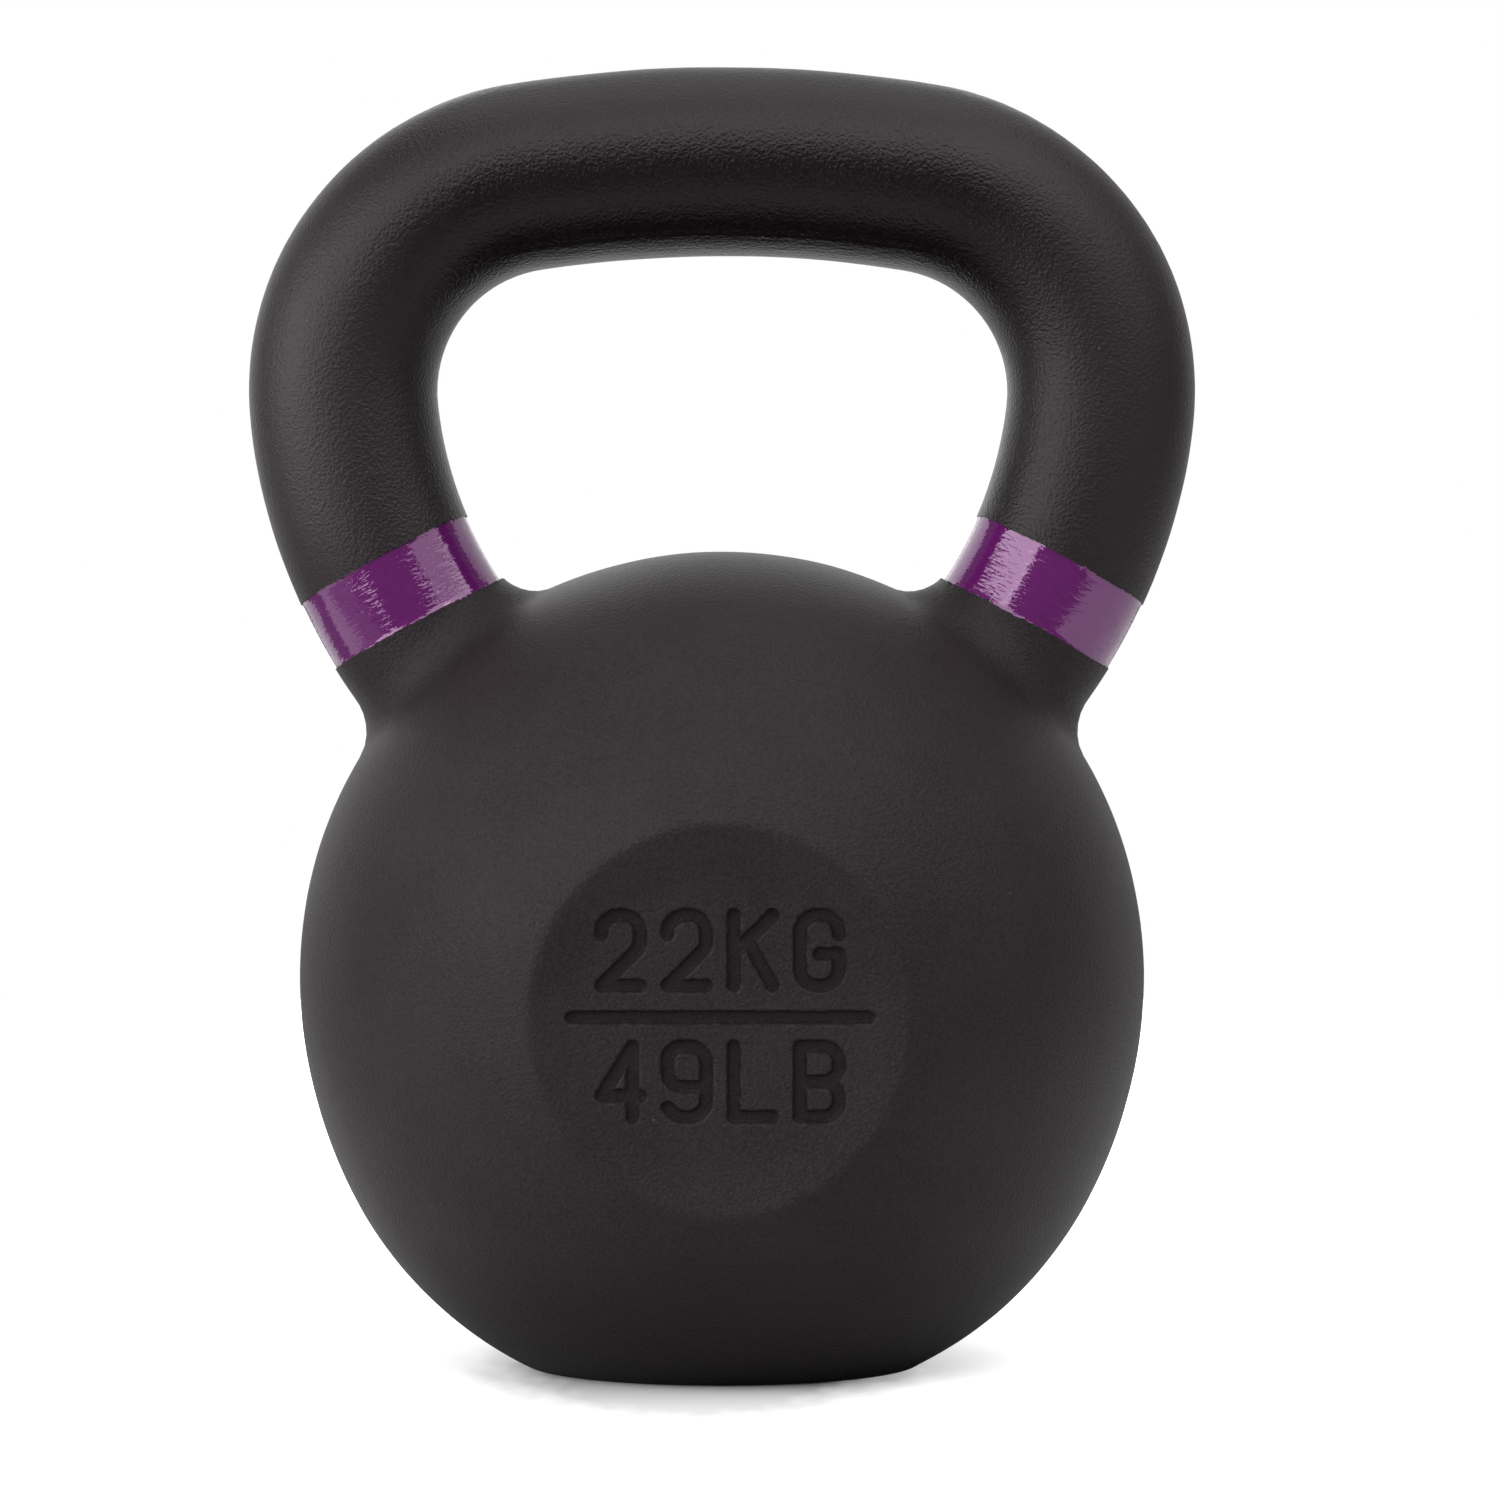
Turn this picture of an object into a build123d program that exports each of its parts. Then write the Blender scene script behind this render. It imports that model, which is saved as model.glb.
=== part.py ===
"""Cast-iron kettlebell: one casting and a colour band round each horn.

The origin is the centre of the flat base, +Z is up, the handle runs along X, and the marked
face looks towards -Y. Lengths are in millimetres and angles in degrees.
"""

import os
from math import cos, radians, sin, tan

from build123d import *

# Ball: a sphere above its equator, then two tangent arcs down to the flat base
BALL_R = 86.0
EQUATOR_Z = 79.8
FLANK_R = 98.4
FLANK_ANGLE = 27.5
LOWER_R = 78.6
BASE_EDGE_R = 2.5

# Handle: a round bar along tangent arcs, from the middle of the grip to inside the ball
BAR_R = 19.2
GRIP_Z = 245.5
GRIP_ARC_R = 261.0
GRIP_ANGLE = 8.8
CORNER_R = 44.3
CORNER_ANGLE = 87.6
HORN_ARC_R = 100.0
HORN_ANGLE = 48.0
ROOT_FILLET = 10.0

# Colour bands: thin sleeves sunk into a shallow groove round each horn
BAND_WIDTH = 15.0
BAND_THICKNESS = 0.45
BAND_SETBACK = 0.35
BAND_ANGLE = 22.0

# Faces: a shallow dish on the front and on the back of the ball
DISH_Z = 73.3
DISH_TILT = 3.3
DISH_FLOOR_Y = 76.5
DISH_FLOOR_R = 28.0
DISH_SLOPE = 8.0
DISH_BLEND_R = 25.0
DISH_EDGE_R = 3.0

# Mass marking engraved in the front dish: two rows of plain characters and a bar between them,
# at these heights above the middle of the dish
MARK_ROWS = {"22KG": 13.9, "49LB": -11.2}
MARK_BAR_ROW = 1.1
MARK_BAR_LENGTH = 58.9
MARK_STROKE = 2.4
MARK_DEPTH = 1.2
GLYPH_PITCH = 12.6
GLYPH_HALF_WIDTH = 3.7
GLYPH_HALF_HEIGHT = 6.75

# How far a cutting tool reaches past the surface it cuts
CLEAR = 5.0

LEFT = -1
RIGHT = 1
FRONT = -1
BACK = 1


def dish_plane(facing):
    """The dish's flat floor: its centre, with Z out of the ball and X along the handle's length."""
    tilt = radians(DISH_TILT)
    centre = (0, facing * DISH_FLOOR_Y, DISH_Z)
    outward = (0, facing * cos(tilt), -sin(tilt))
    return Plane(centre, x_dir=(-facing, 0, 0), z_dir=outward)


def handle_arcs(side):
    """Three tangent arcs from the middle of the grip, round the corner and down the horn."""
    grip = JernArc((0, GRIP_Z), (side, 0), GRIP_ARC_R, -side * GRIP_ANGLE)
    corner = JernArc(grip @ 1, grip % 1, CORNER_R, -side * CORNER_ANGLE)
    horn = JernArc(corner @ 1, corner % 1, HORN_ARC_R, -side * HORN_ANGLE)
    return horn


def sleeve(side, inner_r, outer_r):
    """A ring that follows the horn between the band's two parallel edges."""
    place = BAND_ANGLE / HORN_ANGLE
    slab = 4 * BAR_R
    with BuildPart() as ring:
        with BuildLine(Plane.XZ):
            horn = handle_arcs(side)
        with BuildSketch(Plane(origin=horn @ 0, z_dir=horn % 0)):
            Circle(outer_r)
            Circle(inner_r, mode=Mode.SUBTRACT)
        sweep(path=horn)
        with Locations(Plane(origin=horn @ place, z_dir=horn % place)):
            Box(slab, slab, BAND_WIDTH, mode=Mode.INTERSECT)
    return ring.part


def stroke(*points, bends=None):
    """The centre line of one engraved stroke, with its corners rounded where bends gives the radii."""
    with BuildLine() as line:
        if bends:
            FilletPolyline(*points, radius=bends)
        else:
            Polyline(*points)
    return line.wire()


def glyph(character):
    """The strokes of one plain character, about its own centre."""
    w = GLYPH_HALF_WIDTH
    h = GLYPH_HALF_HEIGHT
    bowl = 0.9 * w
    lobe = 0.8 * w
    loop = 0.75 * w
    elbow = 0.6 * w
    hook = 0.5 * w
    leg = -0.2 * w
    waist = 0.1 * h
    dip = -0.15 * h
    foot = -0.4 * h
    strokes = {
        "2": [stroke((-w, h - w), (-w, h), (w, h), (w, waist), (-w, -h), bends=[bowl, bowl, elbow]),
              stroke((-w, -h), (w, -h))],
        "4": [stroke((elbow, -h), (elbow, h)),
              stroke((elbow, h), (-w, foot), (w, foot))],
        "9": [stroke((w, dip), (-w, dip), (-w, h), (0, h), bends=loop),
              stroke((0, h), (w, h), (w, -h), (-hook, -h), (-w, hook - h), bends=[bowl, bowl, hook])],
        "K": [stroke((-w, -h), (-w, h)),
              stroke((w, h), (-w, -waist)),
              stroke((leg, 2 * waist), (w, -h))],
        "G": [stroke((w, h - w), (w, h), (-w, h), (-w, -h), (w, -h), (w, -waist), bends=bowl),
              stroke((0, -waist), (w, -waist))],
        "L": [stroke((-w, h), (-w, -h), (w, -h))],
        "B": [stroke((-w, -h), (-w, h)),
              stroke((-w, h), (w, h), (w, 0), (-w, 0), bends=lobe),
              stroke((-w, 0), (w, 0), (w, -h), (-w, -h), bends=lobe)],
    }
    return strokes[character]


os.makedirs("parts", exist_ok=True)

band_r = BAR_R - BAND_SETBACK
for name, side in {"band_left": LEFT, "band_right": RIGHT}.items():
    band = sleeve(side, band_r - BAND_THICKNESS, band_r)
    band.label = name
    export_step(band, f"parts/{name}.step")

with BuildPart() as casting:
    # Ball, cut flat at the base
    with BuildSketch(Plane.YZ):
        with BuildLine():
            upper = CenterArc((0, EQUATOR_Z), BALL_R, 90, -90)
            flank = JernArc(upper @ 1, upper % 1, FLANK_R, -FLANK_ANGLE)
            lower = JernArc(flank @ 1, flank % 1, LOWER_R, FLANK_ANGLE - 90)
            Polyline(lower @ 1, (0, (lower @ 1).Y), upper @ 0)
        make_face()
    revolve(axis=Axis.Z)
    split(bisect_by=Plane.XY)

    # Handle, half from each side
    for side in (LEFT, RIGHT):
        with BuildLine(Plane.XZ) as centre_line:
            handle_arcs(side)
        with BuildSketch(Plane.YZ):
            with Locations((0, GRIP_Z)):
                Circle(BAR_R)
        sweep(path=centre_line.wire())
    roots = casting.edges().filter_by(GeomType.BSPLINE).group_by(Axis.Z)[-1]
    fillet(roots, ROOT_FILLET)
    base_edge = casting.edges().group_by(Axis.Z)[0]
    fillet(base_edge, BASE_EDGE_R)

    # Dishes, one facing front and one facing back
    for facing in (FRONT, BACK):
        dish = dish_plane(facing)
        with BuildSketch(Plane(dish.origin, x_dir=dish.x_dir, z_dir=dish.x_dir.cross(dish.z_dir))):
            with BuildLine():
                reach = 2 * DISH_FLOOR_R
                rise = (reach - DISH_FLOOR_R) * tan(radians(DISH_SLOPE))
                slope = FilletPolyline((0, 0), (DISH_FLOOR_R, 0), (reach, rise), radius=DISH_BLEND_R)
                Polyline(slope @ 1, (reach, reach), (0, reach), slope @ 0)
            make_face()
        revolve(axis=Axis(dish.origin, dish.z_dir), mode=Mode.SUBTRACT)
        rim = casting.edges(Select.LAST).filter_by(GeomType.BSPLINE)
        fillet(rim, DISH_EDGE_R)

    # Grooves that the bands lie in
    for side in (LEFT, RIGHT):
        add(sleeve(side, band_r - BAND_THICKNESS, BAR_R + CLEAR), mode=Mode.SUBTRACT)

    # Marking
    with BuildSketch(dish_plane(FRONT).offset(-MARK_DEPTH)):
        for characters, row in MARK_ROWS.items():
            middle = (len(characters) - 1) / 2
            for place, character in enumerate(characters):
                with Locations(((place - middle) * GLYPH_PITCH, row)):
                    for line in glyph(character):
                        SlotArc(line, MARK_STROKE)
        with Locations((0, MARK_BAR_ROW)):
            SlotOverall(MARK_BAR_LENGTH, MARK_STROKE)
    extrude(amount=MARK_DEPTH + CLEAR, mode=Mode.SUBTRACT)

casting.part.label = "casting"
export_step(casting.part, "parts/casting.step")
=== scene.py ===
"""Looks of the cast-iron kettlebell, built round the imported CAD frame. Lengths are in metres.

The casting and the two colour bands are rebuilt as finer meshes than the CAD ones: the casting from
the signed distances of its own surfaces, with cast ripple, engraved marking and ragged coat edges,
and each band as a sleeve of enamel. Everything else is material, light and camera.
"""

import math

import bmesh
import bpy
import numpy as np
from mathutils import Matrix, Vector, noise


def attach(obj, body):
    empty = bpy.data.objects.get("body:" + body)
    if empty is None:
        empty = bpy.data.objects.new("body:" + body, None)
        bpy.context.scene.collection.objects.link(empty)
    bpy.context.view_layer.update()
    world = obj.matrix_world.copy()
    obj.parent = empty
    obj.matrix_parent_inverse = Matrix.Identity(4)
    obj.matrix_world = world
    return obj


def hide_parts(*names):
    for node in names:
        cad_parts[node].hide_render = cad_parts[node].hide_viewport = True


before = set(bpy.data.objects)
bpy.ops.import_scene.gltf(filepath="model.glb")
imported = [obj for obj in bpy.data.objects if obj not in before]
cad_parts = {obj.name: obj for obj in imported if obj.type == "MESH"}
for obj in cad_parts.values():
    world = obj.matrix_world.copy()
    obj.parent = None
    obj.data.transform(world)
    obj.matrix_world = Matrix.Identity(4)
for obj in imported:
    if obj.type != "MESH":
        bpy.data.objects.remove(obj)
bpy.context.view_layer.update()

# Ball: a sphere above its equator, then two tangent arcs down to the flat base
BALL_R = 0.0860
EQUATOR_Z = 0.0798
FLANK_R = 0.0984
FLANK_ANGLE = math.radians(27.5)
LOWER_R = 0.0786
BASE_EDGE_R = 0.0025

# Handle: tangent arcs from the middle of the grip, each turning further from +Z towards the side
BAR_R = 0.0192
GRIP_Z = 0.2455
GRIP_ARC_R = 0.2610
GRIP_TURN = math.radians(8.8)
CORNER_R = 0.0443
CORNER_TURN = math.radians(87.6)
HORN_ARC_R = 0.1000
ROOT_FILLET = 0.0100

# Colour bands, in a groove round each horn
BAND_TURN = math.radians(22.0)
BAND_HALF_WIDTH = 0.0075
BAND_SETBACK = 0.00035
BAND_THICKNESS = 0.00045

# Dishes on the front and the back of the ball
DISH_Z = 0.0733
DISH_TILT = math.radians(3.3)
DISH_FLOOR_Y = 0.0765
DISH_FLOOR_R = 0.0280
DISH_SLOPE = math.radians(8.0)
DISH_BLEND_R = 0.0250
DISH_EDGE_R = 0.0030
DISH_RIM_R = 0.0377

# Mass marking
MARK_ROWS = {"22KG": 0.0139, "49LB": -0.0112}
MARK_BAR_ROW = 0.0011
MARK_BAR_LENGTH = 0.0589
MARK_STROKE = 0.0024
MARK_DEPTH = 0.0012
MARK_EDGE = 0.00060
GLYPH_PITCH = 0.0126
GLYPH_HALF_WIDTH = 0.0037
GLYPH_HALF_HEIGHT = 0.00675

# Fineness of the casting's mesh, and how far past a stroke the marking's finer mesh goes
VOXEL = 0.0024
DISH_CUTS = 2
MARK_CUTS = 2
MARK_MARGIN = 0.0010
EDGE_CUTS = 3

# Reaches that pick out a part of the casting, and the sharpest turn that is shaded smooth
BASE_REACH_R = 0.0350
BASE_REACH_Z = 0.0035
DISH_REACH = 0.0200
DISH_RIM_REACH = 0.0025
HORN_REACH = 0.0300
SMOOTH_ANGLE = math.radians(50)

# Where the coat's finish changes, and where its painted shade at the foot fades out: between two
# heights, or two distances from the grip's middle
HANDLE_HEIGHTS = (0.150, 0.172)
FOOT_SHADE_HEIGHTS = (0.002, 0.030)
GRIP_ENDS = (0.050, 0.078)
STRIP_ENDS = (0.036, 0.046)

# Keeps a division from failing
TINY = 1e-12

SIDES = {"band_left": -1, "band_right": 1}
FRONT = -1
BACK = 1


# --- The casting's surface, as signed distances of an array of points, negative inside


def ball_distance(points):
    """The turned ball, before its flat base is cut."""
    radial = np.hypot(points[:, 0], points[:, 1])
    height = points[:, 2] - EQUATOR_Z
    flank_x = BALL_R - FLANK_R
    lower_x = flank_x + (FLANK_R - LOWER_R) * math.cos(FLANK_ANGLE)
    lower_z = -(FLANK_R - LOWER_R) * math.sin(FLANK_ANGLE)
    upper = np.hypot(radial, height) - BALL_R
    flank = np.hypot(radial - flank_x, height) - FLANK_R
    lower = np.hypot(radial - lower_x, height - lower_z) - LOWER_R
    below = np.arctan2(-height, radial - flank_x)
    return np.where(height > 0, upper, np.where(below < FLANK_ANGLE, flank, lower))


def arc_centres():
    """Centres (x, z) of the grip's, corner's and horn's arcs on the +X side."""
    grip = np.array([0, GRIP_Z - GRIP_ARC_R])
    turn = GRIP_TURN
    corner = grip + (GRIP_ARC_R - CORNER_R) * np.array([math.sin(turn), math.cos(turn)])
    turn += CORNER_TURN
    horn = corner + (CORNER_R - HORN_ARC_R) * np.array([math.sin(turn), math.cos(turn)])
    return grip, corner, horn


def handle_distance(points):
    """The round bar along its three arcs a side."""
    planar = []
    turned = []
    for centre, radius in zip(arc_centres(), (GRIP_ARC_R, CORNER_R, HORN_ARC_R)):
        across = np.abs(points[:, 0]) - centre[0]
        up = points[:, 2] - centre[1]
        planar.append(np.hypot(across, up) - radius)
        turned.append(np.mod(np.arctan2(across, up), 2 * math.pi))
    on_grip = turned[0] < GRIP_TURN
    on_corner = turned[1] < GRIP_TURN + CORNER_TURN
    off_line = np.where(on_grip, planar[0], np.where(on_corner, planar[1], planar[2]))
    return np.hypot(off_line, points[:, 1]) - BAR_R


def dish_axes(facing):
    """A dish floor's centre, and its across, up and outward directions."""
    centre = np.array([0, facing * DISH_FLOOR_Y, DISH_Z])
    outward = np.array([0, facing * math.cos(DISH_TILT), -math.sin(DISH_TILT)])
    across = np.array([-facing, 0, 0])
    return centre, across, np.cross(outward, across), outward


def dish_space(facing):
    """The space over a dish: its flat floor, an arc and a gentle slope out to the ball."""
    centre, _, _, outward = dish_axes(facing)
    arc_x = DISH_FLOOR_R - DISH_BLEND_R * math.tan(DISH_SLOPE / 2)

    def distance(points):
        height = (points - centre) @ outward
        radial = np.sqrt(np.maximum(((points - centre) ** 2).sum(1) - height**2, 0))
        turned = np.arctan2(radial - arc_x, DISH_BLEND_R - height)
        slope = (radial - DISH_FLOOR_R) * math.sin(DISH_SLOPE) - height * math.cos(DISH_SLOPE)
        arc = np.hypot(radial - arc_x, DISH_BLEND_R - height) - DISH_BLEND_R
        return np.where(turned < 0, -height, np.where(turned < DISH_SLOPE, arc, slope))

    return distance


def normals(distance, points, step=2e-5):
    """Unit directions in which a distance grows fastest."""
    slopes = np.empty_like(points)
    for axis in range(3):
        offset = np.zeros(3)
        offset[axis] = step
        slopes[:, axis] = distance(points + offset) - distance(points - offset)
    return slopes / np.maximum(np.linalg.norm(slopes, axis=1, keepdims=True), TINY)


def joined(first, second, radius):
    """Two solids as one, with a rolling-ball fillet between them."""
    least_spread = 0.02

    def distance(points):
        d1 = first(points)
        d2 = second(points)
        result = np.minimum(d1, d2)
        near = np.flatnonzero((d1 < 2 * radius) & (d2 < 2 * radius))
        if len(near) == 0:
            return result
        cosine = (normals(first, points[near]) * normals(second, points[near])).sum(1)
        u = d1[near] - radius
        v = d2[near] - radius
        between = (u < cosine * v) & (v < cosine * u)
        spread = np.maximum(1 - cosine**2, least_spread)
        to_centre = np.sqrt(np.maximum(u * u + v * v - 2 * cosine * u * v, 0) / spread)
        result[near] = np.where(between, radius - to_centre, result[near])
        return result

    return distance


def cut(solid, space, radius):
    """A solid without a space, with the edge between them rounded."""
    outside = joined(lambda points: -solid(points), space, radius)
    return lambda points: -outside(points)


def casting_surface():
    """The whole casting but for its ripple, marking and grooves."""
    surface = joined(ball_distance, handle_distance, ROOT_FILLET)
    surface = cut(surface, lambda points: points[:, 2], BASE_EDGE_R)
    for facing in (FRONT, BACK):
        surface = cut(surface, dish_space(facing), DISH_EDGE_R)
    return surface


def settle(points, surface, rounds=3):
    """Moves points straight onto a surface."""
    for _ in range(rounds):
        points = points - surface(points)[:, None] * normals(surface, points)
    return points


# --- Marking


def rounded(points, radii):
    """A polyline's points, with an arc of several points at each corner if there are radii."""
    arc_points = 9
    points = [np.array(p, float) for p in points]
    if not radii:
        return np.array(points)
    line = [points[0]]
    for before, corner, after, radius in zip(points, points[1:], points[2:], radii):
        back = (before - corner) / np.linalg.norm(before - corner)
        ahead = (after - corner) / np.linalg.norm(after - corner)
        half = math.acos(np.clip(back @ ahead, -1, 1)) / 2
        middle = (back + ahead) / np.linalg.norm(back + ahead)
        centre = corner + middle * radius / math.sin(half)
        start = corner + back * radius / math.tan(half) - centre
        end = corner + ahead * radius / math.tan(half) - centre
        for share in np.linspace(0, 1, arc_points):
            spoke = start * (1 - share) + end * share
            line.append(centre + spoke * radius / np.linalg.norm(spoke))
    line.append(points[-1])
    return np.array(line)


def glyph(character):
    """The strokes of one plain character, about its own centre."""
    w = GLYPH_HALF_WIDTH
    h = GLYPH_HALF_HEIGHT
    bowl = 0.9 * w
    lobe = 0.8 * w
    loop = 0.75 * w
    elbow = 0.6 * w
    hook = 0.5 * w
    leg = -0.2 * w
    waist = 0.1 * h
    dip = -0.15 * h
    foot = -0.4 * h
    strokes = {
        "2": [([(-w, h - w), (-w, h), (w, h), (w, waist), (-w, -h)], [bowl, bowl, elbow]),
              ([(-w, -h), (w, -h)], [])],
        "4": [([(elbow, -h), (elbow, h)], []),
              ([(elbow, h), (-w, foot), (w, foot)], [])],
        "9": [([(w, dip), (-w, dip), (-w, h), (0, h)], [loop] * 2),
              ([(0, h), (w, h), (w, -h), (-hook, -h), (-w, hook - h)], [bowl, bowl, hook])],
        "K": [([(-w, -h), (-w, h)], []),
              ([(w, h), (-w, -waist)], []),
              ([(leg, 2 * waist), (w, -h)], [])],
        "G": [([(w, h - w), (w, h), (-w, h), (-w, -h), (w, -h), (w, -waist)], [bowl] * 4),
              ([(0, -waist), (w, -waist)], [])],
        "L": [([(-w, h), (-w, -h), (w, -h)], [])],
        "B": [([(-w, -h), (-w, h)], []),
              ([(-w, h), (w, h), (w, 0), (-w, 0)], [lobe] * 2),
              ([(-w, 0), (w, 0), (w, -h), (-w, -h)], [lobe] * 2)],
    }
    return [rounded(points, radii) for points, radii in strokes[character]]


def marking_segments():
    """Both ends of every straight piece of the marking, in the dish floor's plane."""
    bar = MARK_BAR_LENGTH / 2 - MARK_STROKE / 2
    lines = [np.array([(-bar, MARK_BAR_ROW), (bar, MARK_BAR_ROW)])]
    for characters, row in MARK_ROWS.items():
        middle = (len(characters) - 1) / 2
        for place, character in enumerate(characters):
            offset = np.array([(place - middle) * GLYPH_PITCH, row])
            lines += [line + offset for line in glyph(character)]
    starts = np.concatenate([line[:-1] for line in lines])
    ends = np.concatenate([line[1:] for line in lines])
    return starts, ends


def stroke_gap(flat):
    """How far points of the dish floor's plane are from the edge of the nearest stroke."""
    nearest = np.full(len(flat), np.inf)
    for start, end in zip(*marking_segments()):
        along = end - start
        share = np.clip((flat - start) @ along / max(along @ along, TINY), 0, 1)
        gap = flat - start - share[:, None] * along
        nearest = np.minimum(nearest, np.hypot(gap[:, 0], gap[:, 1]))
    return nearest - MARK_STROKE / 2


def marking_depth(flat):
    """How deep the marking is at points of the dish floor's plane, with soft, ragged edges."""
    fineness = 700
    stray = 0.00016
    ragged = np.array([noise.noise(Vector((x, y, 0)) * fineness) for x, y in flat]) * stray
    inside = (ragged - stroke_gap(flat)) / MARK_EDGE + 0.5
    share = np.clip(inside, 0, 1)
    return MARK_DEPTH * share * share * (3 - 2 * share)


# --- Horns and bands


def horn_points(side, along, round_angle, radius):
    """Points of a horn at a distance along its band's axis, an angle round it and a radius."""
    centre = arc_centres()[2]
    out = HORN_ARC_R + radius * np.cos(round_angle)
    turn = GRIP_TURN + CORNER_TURN + BAND_TURN + np.arcsin(along / out)
    x = side * (centre[0] + out * np.sin(turn))
    z = centre[1] + out * np.cos(turn)
    return np.stack([x, radius * np.sin(round_angle), z], axis=-1)


def band_axis(side):
    """The middle of a band, and the direction down its horn."""
    turn = GRIP_TURN + CORNER_TURN + BAND_TURN
    centre = arc_centres()[2]
    middle = np.array([side * (centre[0] + HORN_ARC_R * math.sin(turn)), 0,
                       centre[1] + HORN_ARC_R * math.cos(turn)])
    down = np.array([side * math.cos(turn), 0, -math.sin(turn)])
    return middle, down


def round_angles(side, points):
    """The angle of points round a horn, 0 on the handle's outer side, and their radius."""
    centre = arc_centres()[2]
    out = np.hypot(side * points[:, 0] - centre[0], points[:, 2] - centre[1]) - HORN_ARC_R
    return np.arctan2(points[:, 1], out), np.hypot(points[:, 1], out)


def coat_edge(side, end, angles):
    """Where the coat's edge runs at a band's end: a slow wander, with a quick raggedness on it."""
    wander = 0.00030
    wander_fineness = 2.1
    raggedness = 0.00070
    ragged_fineness = 19
    own_noise = Vector((0, 0, 7 * side + 3 * end))
    stray = []
    for angle in np.ravel(angles):
        ring = Vector((math.cos(angle), math.sin(angle), 0))
        slow = noise.noise(ring * wander_fineness + own_noise)
        quick = noise.noise(ring * ragged_fineness + own_noise)
        stray.append(wander * slow + raggedness * quick * abs(quick))
    return end * BAND_HALF_WIDTH + np.array(stray).reshape(np.shape(angles))


# --- Mesh helpers


def coordinates(mesh):
    """A mesh's points."""
    flat = np.empty(len(mesh.vertices) * 3)
    mesh.vertices.foreach_get("co", flat)
    return flat.reshape(-1, 3)


def spread_evenly(mesh, surface, rounds):
    """Evens out a mesh's spacing while keeping it on its surface."""
    pairs = np.empty(len(mesh.edges) * 2, int)
    mesh.edges.foreach_get("vertices", pairs)
    one, other = pairs.reshape(-1, 2).T
    points = coordinates(mesh)
    count = np.bincount(pairs, minlength=len(points))[:, None]
    for _ in range(rounds):
        total = np.zeros_like(points)
        np.add.at(total, one, points[other])
        np.add.at(total, other, points[one])
        points = settle((points + total / count) / 2, surface, rounds=1)
    mesh.vertices.foreach_set("co", settle(points, surface).ravel())


def refine(shape, chosen, cuts):
    """Divides the chosen faces of a bmesh."""
    faces = list(shape.faces)
    picked = chosen(np.array([face.calc_center_median() for face in faces]))
    edges = dict.fromkeys(edge for face, pick in zip(faces, picked) if pick for edge in face.edges)
    bmesh.ops.subdivide_edges(shape, edges=list(edges), cuts=cuts, use_grid_fill=True)


def settle_bmesh(shape, surface):
    """Moves a bmesh's points straight onto a surface."""
    points = np.array([vertex.co for vertex in shape.verts])
    for vertex, place in zip(shape.verts, settle(points, surface)):
        vertex.co = place


def write_smooth(shape, mesh):
    """Writes a finished bmesh into a mesh, facing outwards and smooth but for its sharp corners."""
    bmesh.ops.recalc_face_normals(shape, faces=shape.faces)
    shape.to_mesh(mesh)
    shape.free()
    mesh.shade_smooth()
    mesh.set_sharp_from_angle(angle=SMOOTH_ANGLE)


def new_piece(name, mesh):
    """An object in the scene."""
    piece = bpy.data.objects.new(name, mesh)
    bpy.context.scene.collection.objects.link(piece)
    return piece


# --- Casting


def remeshed(node):
    """An even mesh of a CAD node's outer shape."""
    rough = new_piece("rough", node.data.copy())
    remesh = rough.modifiers.new("even", "REMESH")
    remesh.mode = "VOXEL"
    remesh.voxel_size = VOXEL
    graph = bpy.context.evaluated_depsgraph_get()
    mesh = bpy.data.meshes.new_from_object(rough.evaluated_get(graph))
    bpy.data.objects.remove(rough)
    return mesh


def groove_place(side):
    """Tests for places by a band: how far along its horn they are, and whether they are near it."""
    middle, down = band_axis(side)

    def along(place):
        return (np.array(place) - middle) @ down

    def near(place):
        return (place - Vector(middle)).length < HORN_REACH

    return along, near


def open_groove(shape, side):
    """Cuts the casting's skin at both ends of a band and takes out the skin between the cuts."""
    snap = 0.00025
    middle, down = band_axis(side)
    along, near = groove_place(side)
    close_by = [v for v in shape.verts if near(v.co)]
    for end in (-1, 1):
        for vertex in close_by:
            miss = along(vertex.co) - end * BAND_HALF_WIDTH
            if abs(miss) < snap:
                vertex.co -= Vector(down * miss)
        faces = [f for f in shape.faces if near(f.calc_center_median())]
        edges = dict.fromkeys(e for f in faces for e in f.edges)
        verts = dict.fromkeys(v for f in faces for v in f.verts)
        bmesh.ops.bisect_plane(shape, geom=[*faces, *edges, *verts], dist=1e-6,
                               plane_co=Vector(middle + end * BAND_HALF_WIDTH * down),
                               plane_no=Vector(down))
    between = [f for f in shape.faces if near(f.calc_center_median())
               and abs(along(f.calc_center_median())) < BAND_HALF_WIDTH]
    bmesh.ops.delete(shape, geom=between, context="FACES")


def line_groove(shape, side):
    """Gives the opening the coat's ragged edges, a wall under each and a floor between them."""
    on_cut = 1e-5
    floor_r = BAR_R - BAND_SETBACK - BAND_THICKNESS
    along, near = groove_place(side)
    floor_edges = []
    for end in (-1, 1):
        rim = [e for e in shape.edges if e.is_boundary and near(e.verts[0].co)
               and all(abs(along(v.co) - end * BAND_HALF_WIDTH) < on_cut for v in e.verts)]
        upper = list(dict.fromkeys(v for e in rim for v in e.verts))
        angles, radii = round_angles(side, np.array([v.co for v in upper]))
        edge = coat_edge(side, end, angles)
        for vertex, place in zip(upper, horn_points(side, edge, angles, radii)):
            vertex.co = place
        wall = bmesh.ops.extrude_edge_only(shape, edges=rim)["geom"]
        lower = [g for g in wall if isinstance(g, bmesh.types.BMVert)]
        angles, _ = round_angles(side, np.array([v.co for v in lower]))
        edge = coat_edge(side, end, angles)
        for vertex, place in zip(lower, horn_points(side, edge, angles, floor_r)):
            vertex.co = place
        floor_edges += [g for g in wall if isinstance(g, bmesh.types.BMEdge)]
    bmesh.ops.bridge_loops(shape, edges=floor_edges)


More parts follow.
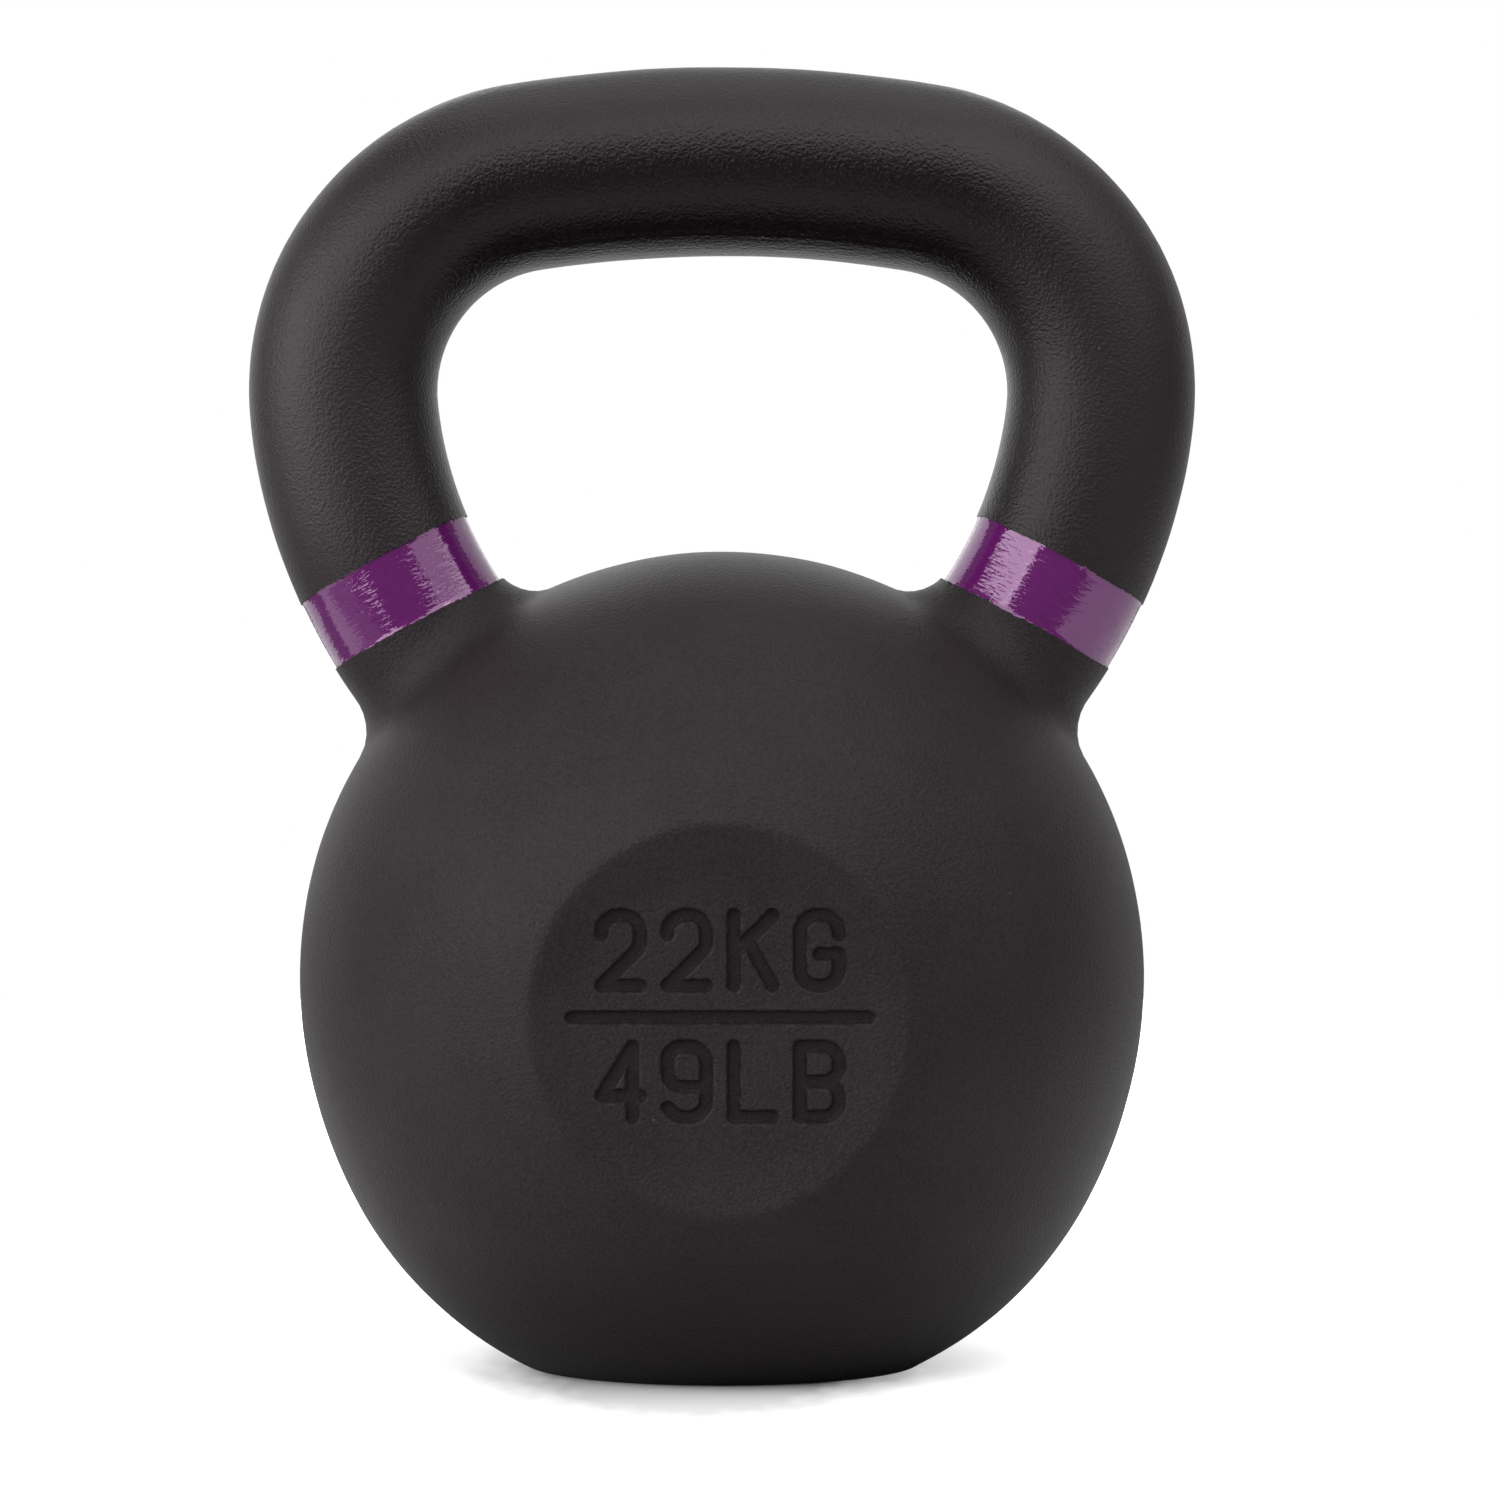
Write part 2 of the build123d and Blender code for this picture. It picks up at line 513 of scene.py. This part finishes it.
def flattened(places):
    """Places in the plane of the front dish's floor."""
    centre, across, up, _ = dish_axes(FRONT)
    return np.stack([(places - centre) @ across, (places - centre) @ up], axis=1)


def above_dish(places):
    """How far out from the plane of the front dish's floor places are."""
    centre, _, _, outward = dish_axes(FRONT)
    return (places - centre) @ outward


def on_dish(places):
    """Which places are on the front dish or its rounded rim."""
    from_centre = np.linalg.norm(places - dish_axes(FRONT)[0], axis=1)
    return (above_dish(places) > -DISH_REACH) & (from_centre < DISH_RIM_R + DISH_RIM_REACH)


def by_marking(places):
    """Which places are in a stroke or just beside one."""
    return on_dish(places) & (stroke_gap(flattened(places)) < MARK_MARGIN)


def on_base_edge(places):
    """Which places are on the rounded edge of the base."""
    return (places[:, 2] < BASE_REACH_Z) & (np.hypot(places[:, 0], places[:, 1]) > BASE_REACH_R)


def beside_band(places):
    """Which places are at either end of either band."""
    reach = 0.028
    middle, down = band_axis(1)
    offset = places * np.where(places[:, :1] < 0, (-1, 1, 1), (1, 1, 1)) - middle
    gap = np.abs(np.abs(offset @ down) - BAND_HALF_WIDTH)
    return (np.linalg.norm(offset, axis=1) < reach) & (gap < VOXEL)


def cast_ripple(points):
    """The gentle unevenness of a sand casting under its coat."""
    broad_fineness, broad_rise = 38, 0.00014
    close_fineness, close_rise = 140, 0.00003
    broad = np.array([noise.noise(Vector(p) * broad_fineness) for p in points]) * broad_rise
    close = np.array([noise.noise(Vector(p) * close_fineness) for p in points]) * close_rise
    return broad + close


def with_ripple_and_marking(points, surface):
    """The casting's points, rippled but for the flat base, and with the marking sunk into the dish."""
    flat_base_z = 0.0004
    floor_reach = 0.005
    rise = cast_ripple(points)[:, None] * normals(surface, points)
    rise[points[:, 2] < flat_base_z] = 0
    flat = flattened(points)
    in_dish = (above_dish(points) > -floor_reach) & (np.hypot(flat[:, 0], flat[:, 1]) < DISH_RIM_R)
    depth = np.zeros(len(points))
    depth[in_dish] = marking_depth(flat[in_dish])
    outward = dish_axes(FRONT)[3]
    return points + rise - depth[:, None] * outward


def make_casting():
    """Ball, handle and horns as one piece, its mesh finest at the marking, the edges and the bands."""
    surface = casting_surface()
    mesh = remeshed(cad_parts["casting"])
    spread_evenly(mesh, surface, rounds=8)

    shape = bmesh.new()
    shape.from_mesh(mesh)
    refine(shape, on_dish, DISH_CUTS)
    refine(shape, by_marking, MARK_CUTS)
    refine(shape, on_base_edge, EDGE_CUTS)
    refine(shape, beside_band, EDGE_CUTS)
    settle_bmesh(shape, surface)
    for side in SIDES.values():
        open_groove(shape, side)
        line_groove(shape, side)
    points = np.array([vertex.co for vertex in shape.verts])
    for vertex, place in zip(shape.verts, with_ripple_and_marking(points, surface)):
        vertex.co = place
    write_smooth(shape, mesh)

    casting = new_piece("casting_coated", mesh)
    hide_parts("casting")
    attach(casting, "root")
    return casting


# --- Bands


def sleeve_loops(side, turns):
    """The rings of points that a band is made of: its face from edge to edge, then its back."""
    rows = 40
    meniscus_rise = 0.00012
    meniscus_reach = 0.00035
    peel_fineness = 260
    peel_rise = 0.000012
    angles = np.linspace(0, 2 * math.pi, turns, endpoint=False)
    low_edge = coat_edge(side, -1, angles)
    high_edge = coat_edge(side, 1, angles)
    face_r = BAR_R - BAND_SETBACK
    back_r = face_r - BAND_THICKNESS
    loops = []
    for share in np.linspace(0, 1, rows):
        along = low_edge * (1 - share) + high_edge * share
        to_edge = np.minimum(along - low_edge, high_edge - along)
        meniscus = meniscus_rise * np.exp(-to_edge / meniscus_reach)
        peel = np.array([noise.noise(Vector((a * face_r, s, side)) * peel_fineness)
                         for a, s in zip(angles, along)])
        loops.append(horn_points(side, along, angles, face_r + meniscus + peel_rise * peel))
    for edge in (high_edge, low_edge):
        loops.append(horn_points(side, edge, angles, back_r))
    return loops


def make_band(node, side):
    """A sleeve of enamel, with a meniscus against the coat at each end."""
    turns = 360
    loops = sleeve_loops(side, turns)
    faces = []
    for row in range(len(loops)):
        for turn in range(turns):
            after = (turn + 1) % turns
            below = (row + 1) % len(loops)
            faces.append((row * turns + turn, row * turns + after,
                          below * turns + after, below * turns + turn))
    mesh = bpy.data.meshes.new(node)
    mesh.from_pydata(np.concatenate(loops).tolist(), [], faces)
    shape = bmesh.new()
    shape.from_mesh(mesh)
    write_smooth(shape, mesh)
    band = new_piece(node + "_enamel", mesh)
    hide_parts(node)
    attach(band, "root")
    return band


# --- Materials


class Nodes:
    """A material's node tree, with short ways to add and join nodes."""

    def __init__(self, name):
        self.material = bpy.data.materials.new(name)
        self.material.use_nodes = True
        self.tree = self.material.node_tree
        self.shader = next(n for n in self.tree.nodes if n.type == "BSDF_PRINCIPLED")
        self.place = self.add("ShaderNodeTexCoord").outputs["Object"]

    def add(self, kind, **settings):
        node = self.tree.nodes.new(kind)
        for key, value in settings.items():
            if key in node.inputs:
                node.inputs[key].default_value = value
            else:
                setattr(node, key, value)
        return node

    def join(self, output, socket):
        self.tree.links.new(output, socket)

    def axes(self):
        """The place's X, Y and Z."""
        node = self.add("ShaderNodeSeparateXYZ")
        self.join(self.place, node.inputs[0])
        return node.outputs

    def vector(self, *parts):
        """A vector of sockets, with nothing for a part that is 0."""
        node = self.add("ShaderNodeCombineXYZ")
        for part, socket in zip(parts, node.inputs):
            if part:
                self.join(part, socket)
        return node.outputs[0]

    def mapped(self, **settings):
        """The place, moved and scaled."""
        node = self.add("ShaderNodeMapping", **settings)
        self.join(self.place, node.inputs["Vector"])
        return node.outputs[0]

    def noise(self, scale, detail=2.0, roughness=0.5, place=None):
        node = self.add("ShaderNodeTexNoise", Scale=scale, Detail=detail, Roughness=roughness)
        self.join(place or self.place, node.inputs["Vector"])
        return node.outputs["Fac"]

    def cells(self, scale, place=None):
        node = self.add("ShaderNodeTexVoronoi", Scale=scale)
        self.join(place or self.place, node.inputs["Vector"])
        return node.outputs["Distance"]

    def ranged(self, value, low, high, to_low, to_high):
        """A value's way from low to high, as a way from to_low to to_high, and no further."""
        node = self.add("ShaderNodeMapRange")
        self.join(value, node.inputs["Value"])
        limits = {"From Min": low, "From Max": high, "To Min": to_low, "To Max": to_high}
        for socket, number in limits.items():
            node.inputs[socket].default_value = number
        return node.outputs["Result"]

    def maths(self, operation, one, other):
        node = self.add("ShaderNodeMath", operation=operation)
        for socket, value in zip(node.inputs, (one, other)):
            if isinstance(value, (int, float)):
                socket.default_value = value
            else:
                self.join(value, socket)
        return node.outputs["Value"]

    def length(self, vector):
        node = self.add("ShaderNodeVectorMath", operation="LENGTH")
        self.join(vector, node.inputs[0])
        return node.outputs["Value"]

    def measured(self, operation, vector):
        """The place's dot product with a fixed vector, or its distance from one."""
        node = self.add("ShaderNodeVectorMath", operation=operation)
        self.join(self.place, node.inputs[0])
        node.inputs[1].default_value = vector
        return node.outputs["Value"]

    def mixed(self, share, one, other):
        node = self.add("ShaderNodeMix", data_type="RGBA")
        self.join(share, node.inputs["Factor"])
        for socket, colour in zip((node.inputs[6], node.inputs[7]), (one, other)):
            if isinstance(colour, tuple):
                socket.default_value = (*colour, 1)
            else:
                self.join(colour, socket)
        return node.outputs[2]

    def bump(self, height, distance, below=None):
        node = self.add("ShaderNodeBump", Distance=distance)
        self.join(height, node.inputs["Height"])
        if below:
            self.join(below, node.inputs["Normal"])
        return node.outputs["Normal"]


def strip_share(nodes, on_handle):
    """1 on the narrow strip under the grip where its mould parted, 0 elsewhere."""
    sideways, _, height = nodes.axes()
    from_arch = nodes.vector(sideways, 0, nodes.maths("SUBTRACT", height, GRIP_Z - GRIP_ARC_R))
    strip_r = GRIP_ARC_R - 0.84 * BAR_R
    blend = 0.0006
    below_arch = nodes.ranged(nodes.length(from_arch), strip_r, strip_r + blend, 1, 0)
    between_corners = nodes.ranged(nodes.maths("ABSOLUTE", sideways, 0), *STRIP_ENDS, 1, 0)
    return nodes.maths("MULTIPLY", below_arch, nodes.maths("MULTIPLY", on_handle, between_corners))


def stroke_shade_share(nodes):
    """1 in the marking's strokes, where the coat gets painted shade, 0 elsewhere."""
    deep = 0.0009
    shallow = 0.0004
    marking_r = 0.0310
    blend = 0.0005
    centre, _, _, outward = dish_axes(FRONT)
    level = centre @ outward
    sunk = nodes.ranged(nodes.measured("DOT_PRODUCT", outward), level - deep, level - shallow, 1, 0)
    from_centre = nodes.measured("DISTANCE", centre)
    near_centre = nodes.ranged(from_centre, marking_r, marking_r + blend, 1, 0)
    return nodes.maths("MULTIPLY", sunk, near_centre)


def coat_skin(nodes, on_handle, on_strip):
    """A fine leathery grain, with a ground, streaky and pitted strip under the grip."""
    depth = nodes.ranged(on_handle, 0, 1, 1, 0.7)
    leather = nodes.noise(scale=1800, detail=2, roughness=0.6)
    grain = nodes.maths("MULTIPLY", leather, depth)
    pebble = nodes.cells(scale=1300)
    streaks = nodes.noise(scale=900, detail=3, place=nodes.mapped(Scale=(0.12, 1, 1)))
    pits = nodes.ranged(nodes.cells(scale=420), 0.05, 0.20, 0, 0.6)
    ground = nodes.maths("MULTIPLY", nodes.maths("ADD", streaks, pits), on_strip)
    skin = nodes.bump(grain, distance=0.00024)
    skin = nodes.bump(pebble, distance=0.00008, below=skin)
    return nodes.bump(ground, distance=0.00015, below=skin)


def coat_colour(nodes, on_handle, on_grip, above_foot_shade, shaded_in_stroke):
    """Nearly black, mottled on the ball, darkest on the grip, with a few pale specks of dust, and
    painted shade at the foot and in the marking's strokes.
    """
    dark = (0.0076, 0.0056, 0.0062)
    light = (0.0158, 0.0126, 0.0136)
    # painted shade: a darker tone at the foot stands in for the shade on the ball's lower flank
    foot = (0.0074, 0.0056, 0.0060)
    # painted shade: the strokes' darker tone stands in for the shade in the sunk marking
    stroke = (0.0092, 0.0072, 0.0078)
    handle = (0.0070, 0.0048, 0.0055)
    grip = (0.0020, 0.0009, 0.0013)
    dust = (0.08, 0.08, 0.08)
    cloud = nodes.ranged(nodes.noise(scale=45, detail=3), 0.35, 0.65, 0, 0.3)
    grit = nodes.ranged(nodes.noise(scale=2000, detail=1), 0.35, 0.65, 0, 0.7)
    speck = nodes.ranged(nodes.cells(scale=90), 0.010, 0.016, 1, 0)
    tone = nodes.mixed(above_foot_shade, foot, nodes.mixed(nodes.maths("ADD", cloud, grit), dark, light))
    tone = nodes.mixed(shaded_in_stroke, tone, stroke)
    tone = nodes.mixed(on_handle, tone, handle)
    tone = nodes.mixed(on_grip, tone, grip)
    return nodes.mixed(speck, tone, dust)


def coat_sheen(nodes, on_handle, on_grip, above_foot_shade, shaded_in_stroke):
    """Weak on the ball, weaker at the foot and in the strokes as painted shade, stronger on the left
    horn's side as a painted highlight.
    """
    ball = 0.108
    # painted highlight: the left horn gets more sheen than the right, to brighten that side
    more_on_left_horn_with_painted_highlight = 0.162
    more_on_right_horn = 0.080
    more_on_grip = 0.028
    # painted shade: the sheen drops towards the foot
    sheen_times_in_foot_shade = 0.60
    # painted shade: the sheen drops in the strokes
    sheen_times_in_stroke_shade = 0.8
    sideways = nodes.axes()["X"]
    horn = nodes.ranged(sideways, -0.085, -0.060, more_on_left_horn_with_painted_highlight, more_on_right_horn)
    sheen = nodes.maths("ADD", nodes.maths("MULTIPLY", on_handle, horn), ball)
    sheen = nodes.maths("ADD", sheen, nodes.ranged(on_grip, 0, 1, 0, more_on_grip))
    sheen = nodes.maths("MULTIPLY", sheen, nodes.ranged(above_foot_shade, 0, 1, sheen_times_in_foot_shade, 1))
    return nodes.maths("MULTIPLY", sheen, nodes.ranged(shaded_in_stroke, 0, 1, 1, sheen_times_in_stroke_shade))


def powder_coat():
    """Black powder coat: matt on the ball, shinier on the horns and the grip, with a painted highlight
    on the left horn and painted shade at the foot and in the strokes.
    """
    nodes = Nodes("powder_coat")
    shader = nodes.shader
    sideways, _, height = nodes.axes()
    on_handle = nodes.ranged(height, *HANDLE_HEIGHTS, 0, 1)
    in_middle = nodes.ranged(nodes.maths("ABSOLUTE", sideways, 0), *GRIP_ENDS, 1, 0)
    on_grip = nodes.maths("MULTIPLY", on_handle, in_middle)
    # painted shade at the foot: 0 at the foot, 1 above it
    above_foot_shade = nodes.ranged(height, *FOOT_SHADE_HEIGHTS, 0, 1)
    # painted shade in the marking's strokes
    shaded_in_stroke = stroke_shade_share(nodes)
    shares = (on_handle, on_grip, above_foot_shade, shaded_in_stroke)

    nodes.join(coat_skin(nodes, on_handle, strip_share(nodes, on_handle)), shader.inputs["Normal"])
    nodes.join(coat_colour(nodes, *shares), shader.inputs["Base Color"])
    nodes.join(coat_sheen(nodes, *shares), shader.inputs["Specular IOR Level"])
    rough = nodes.maths("ADD", nodes.ranged(on_handle, 0, 1, 0.50, 0.45),
                        nodes.ranged(on_grip, 0, 1, 0, -0.17))
    nodes.join(rough, shader.inputs["Roughness"])
    # The sheen's middle value, for an export that drops what is joined to this socket
    shader.inputs["Specular IOR Level"].default_value = 0.13
    shader.inputs["Specular Tint"].default_value = (1, 0.94, 0.965, 1)
    return nodes.material


def band_enamel():
    """Glossy purple enamel, brushed on round the horn so that its skin is streaky that way."""
    thin = (0.057, 0.0045, 0.058)
    thick = (0.067, 0.0060, 0.067)
    nodes = Nodes("band_enamel")
    shader = nodes.shader
    axes = nodes.axes()
    sideways = nodes.maths("ABSOLUTE", axes["X"], 0)
    turn = GRIP_TURN + CORNER_TURN + BAND_TURN
    along = nodes.maths("SUBTRACT", nodes.maths("MULTIPLY", sideways, math.cos(turn)),
                        nodes.maths("MULTIPLY", axes["Z"], math.sin(turn)))
    across = nodes.maths("ADD", nodes.maths("MULTIPLY", sideways, math.sin(turn)),
                         nodes.maths("MULTIPLY", axes["Z"], math.cos(turn)))
    drawn_out = 3.2
    brushed = nodes.vector(nodes.maths("MULTIPLY", along, drawn_out), across, axes["Y"])

    streaks = nodes.noise(scale=480, detail=2, place=brushed)
    skin = nodes.bump(nodes.noise(scale=200, detail=1), distance=0.00006)
    skin = nodes.bump(streaks, distance=0.00009, below=skin)
    nodes.join(skin, shader.inputs["Normal"])
    pigment = nodes.ranged(streaks, 0.3, 0.7, 0, 1)
    nodes.join(nodes.mixed(pigment, thin, thick), shader.inputs["Base Color"])
    nodes.join(nodes.ranged(streaks, 0.3, 0.7, 0.04, 0.07), shader.inputs["Roughness"])
    shader.inputs["Specular IOR Level"].default_value = 0.72
    shader.inputs["Specular Tint"].default_value = (1, 0.72, 0.97, 1)
    return nodes.material


def studio_paper(name, white):
    """Paper with a painted shadow, greyer round the kettlebell's foot, and washed out in the picture
    elsewhere by a painted glow.
    """
    nodes = Nodes(name)
    shader = nodes.shader
    shader.inputs["Roughness"].default_value = 0.9
    shader.inputs["Specular IOR Level"].default_value = 0.1
    # painted shadow: the paper turns grey round the foot, with wispy edges
    grey = 0.58
    stray = 0.003
    oval = nodes.mapped(Location=(0.0070, 0.0064, 0), Scale=(1.25, 0.5, 1))
    wisps = nodes.ranged(nodes.noise(scale=150, detail=3, place=oval), 0.3, 0.7, -stray, stray)
    reach = nodes.maths("ADD", nodes.length(oval), wisps)
    past_painted_shadow = nodes.ranged(reach, 0.030, 0.180, 0, 1)
    paper = nodes.mixed(past_painted_shadow, (grey, grey, grey), (white, white, white))
    nodes.join(paper, shader.inputs["Base Color"])

    # The wash: painted light, a glow on the paper that only the camera sees, rising away from the foot
    # and lifting the shadow there, the same from any side
    near = nodes.ranged(reach, 0.033, 0.060, 0, 0.55)
    middle = nodes.ranged(reach, 0.060, 0.140, 0, 0.35)
    far = nodes.ranged(reach, 0.220, 0.650, 0, 1.2)
    painted_glow = nodes.maths("ADD", nodes.maths("ADD", near, middle), far)
    seen = nodes.add("ShaderNodeLightPath").outputs["Is Camera Ray"]
    shader.inputs["Emission Color"].default_value = (1, 1, 1, 1)
    nodes.join(nodes.maths("MULTIPLY", painted_glow, seen), shader.inputs["Emission Strength"])
    return nodes.material


# --- Stage, light and camera


def make_floor():
    """A grey table, a white sheet laid askew on it and a dark patch on the sheet's left, a painted
    shadow.

    The washed-out paper hides them from the camera. They show in the bands' reflections.
    """
    reach = 1.6
    corner = (0.39, -0.495)
    card_lift = 0.0005
    outlines = {
        "sheet": ([(-reach, 0.51), corner, (reach, -0.65), (reach, reach), (-reach, reach)], 0, 0.77),
        "table": ([(-reach, -0.24), corner, (-reach, 0.51)], 0, 0.28),
        # painted shadow: a dark patch that stands in for shade on the sheet, seen in the bands'
        # reflections
        "painted_shadow_patch": ([(-1.0, 0.05), (-0.26, 0.05), (-0.26, 0.24), (-1.0, 0.24)], card_lift, 0.14),
    }
    for name, (corners, lift, white) in outlines.items():
        mesh = bpy.data.meshes.new(name)
        mesh.from_pydata([(x, y, lift) for x, y in corners], [], [range(len(corners))])
        floor = new_piece(name, mesh)
        floor.data.materials.append(studio_paper(name + "_paper", white))


def make_softbox(name, azimuth, elevation, distance, size, radiance):
    """An even rectangular light that faces the ball. Azimuth 0 is the camera's side, +90 is +X."""
    aim = Vector((0, 0, 0.13))
    around = math.radians(azimuth)
    up = math.radians(elevation)
    away = Vector((math.sin(around) * math.cos(up), -math.cos(around) * math.cos(up), math.sin(up)))
    light = bpy.data.lights.new(name, "AREA")
    light.shape = "RECTANGLE"
    light.size, light.size_y = size
    light.energy = radiance * math.pi * size[0] * size[1]
    softbox = bpy.data.objects.new(name, light)
    softbox.location = aim + distance * away
    softbox.rotation_euler = (-away).to_track_quat("-Z", "Y").to_euler()
    softbox.visible_camera = False
    bpy.context.scene.collection.objects.link(softbox)


def make_lights():
    """Softboxes at the sides, above and behind: azimuth, elevation, distance, size and radiance."""
    make_softbox("softbox_left", -59, 14, 1.05, (1.25, 0.80), 5.3)
    make_softbox("softbox_right", 58, 22, 1.05, (0.92, 0.42), 1.8)
    make_softbox("softbox_high_right", 58, 46, 1.05, (0.92, 0.40), 3.4)
    make_softbox("softbox_high_front", 0, 41, 1.30, (1.3, 0.78), 3.6)
    make_softbox("softbox_top", 0, 84, 1.20, (1.4, 1.0), 2.15)
    make_softbox("softbox_high_back", 180, 55, 1.30, (1.6, 0.7), 0.8)
    make_softbox("backdrop", 180, 18, 1.05, (0.5, 0.75), 0.7)
    make_softbox("backdrop_left", -148, 18, 1.05, (0.80, 0.75), 1.3)
    make_softbox("backdrop_right", 145, 18, 1.05, (0.95, 0.75), 0.75)


def make_world():
    """White where the camera looks past the floor, and a dim studio for everything else."""
    world = bpy.data.worlds.new("studio")
    bpy.context.scene.world = world
    world.use_nodes = True
    tree = world.node_tree
    background = tree.nodes["Background"]
    background.inputs["Color"].default_value = (0.2, 0.2, 0.2, 1)
    white = tree.nodes.new("ShaderNodeBackground")
    white.inputs["Color"].default_value = (1, 1, 1, 1)
    mix = tree.nodes.new("ShaderNodeMixShader")
    ray = tree.nodes.new("ShaderNodeLightPath")
    tree.links.new(ray.outputs["Is Camera Ray"], mix.inputs["Fac"])
    tree.links.new(background.outputs[0], mix.inputs[1])
    tree.links.new(white.outputs[0], mix.inputs[2])
    tree.links.new(mix.outputs[0], tree.nodes["World Output"].inputs["Surface"])


def make_camera():
    """A long lens at the height of the ball's upper half, level, looking along +Y."""
    distance = 1.100
    height = 0.1253
    aside = 0.0057
    view_width = 0.3066
    camera = bpy.data.cameras.new("camera")
    camera.lens = camera.sensor_width * distance / view_width
    holder = bpy.data.objects.new("camera", camera)
    holder.location = (aside, -distance, height)
    holder.rotation_euler = (math.pi / 2, 0, 0)
    bpy.context.scene.collection.objects.link(holder)
    bpy.context.scene.camera = holder


make_camera()
make_world()
make_lights()
make_floor()

casting = make_casting()
casting.data.materials.clear()
casting.data.materials.append(powder_coat())
enamel = band_enamel()
for node, side in SIDES.items():
    make_band(node, side).data.materials.append(enamel)

settings = bpy.context.scene.view_settings
settings.view_transform = "Standard"
settings.look = "None"
